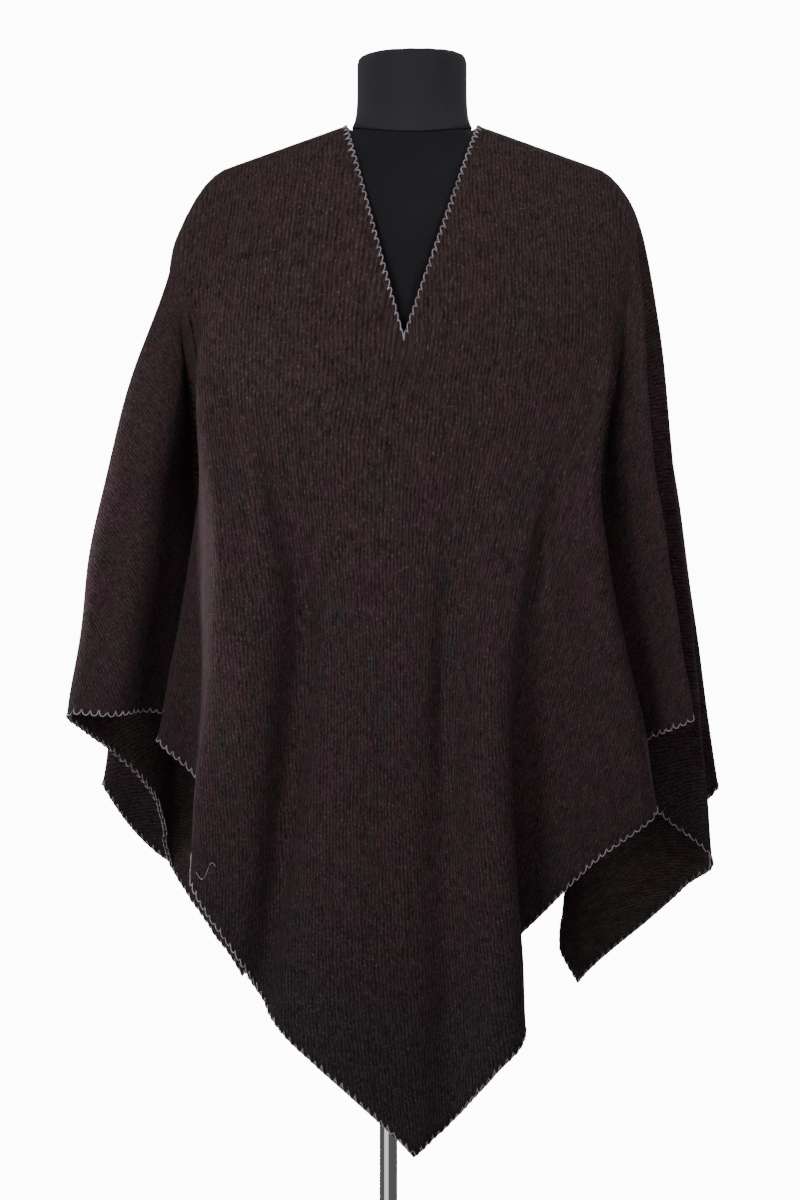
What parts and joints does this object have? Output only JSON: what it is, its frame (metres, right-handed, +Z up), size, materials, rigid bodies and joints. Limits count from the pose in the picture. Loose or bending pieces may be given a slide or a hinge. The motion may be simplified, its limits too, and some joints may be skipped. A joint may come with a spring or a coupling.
{
  "type": "wool poncho on a dress form",
  "caption": "Square wool twill poncho with a V neck, worn corner to the front on a limbless dress form with a pole stand.",
  "frame": {"origin": "on the floor under the base, below the centre line of the form", "axes": "+Z up, the front of the poncho towards -Y"},
  "size_m": [0.676, 0.4246, 1.493],
  "materials": {
    "wool": "dark brown wool twill with purple and olive flecks, brushed nap",
    "jersey": "matte black jersey",
    "board": "matte black",
    "chrome": "polished"
  },
  "bodies": {
    "root": {"cloth": "wool", "form_torso": "jersey", "form_neck": "jersey", "form_bottom": "board", "pole_socket": "board", "pole": "chrome", "base_hub": "chrome", "base_plate": "chrome"}
  },
  "joints": []
}
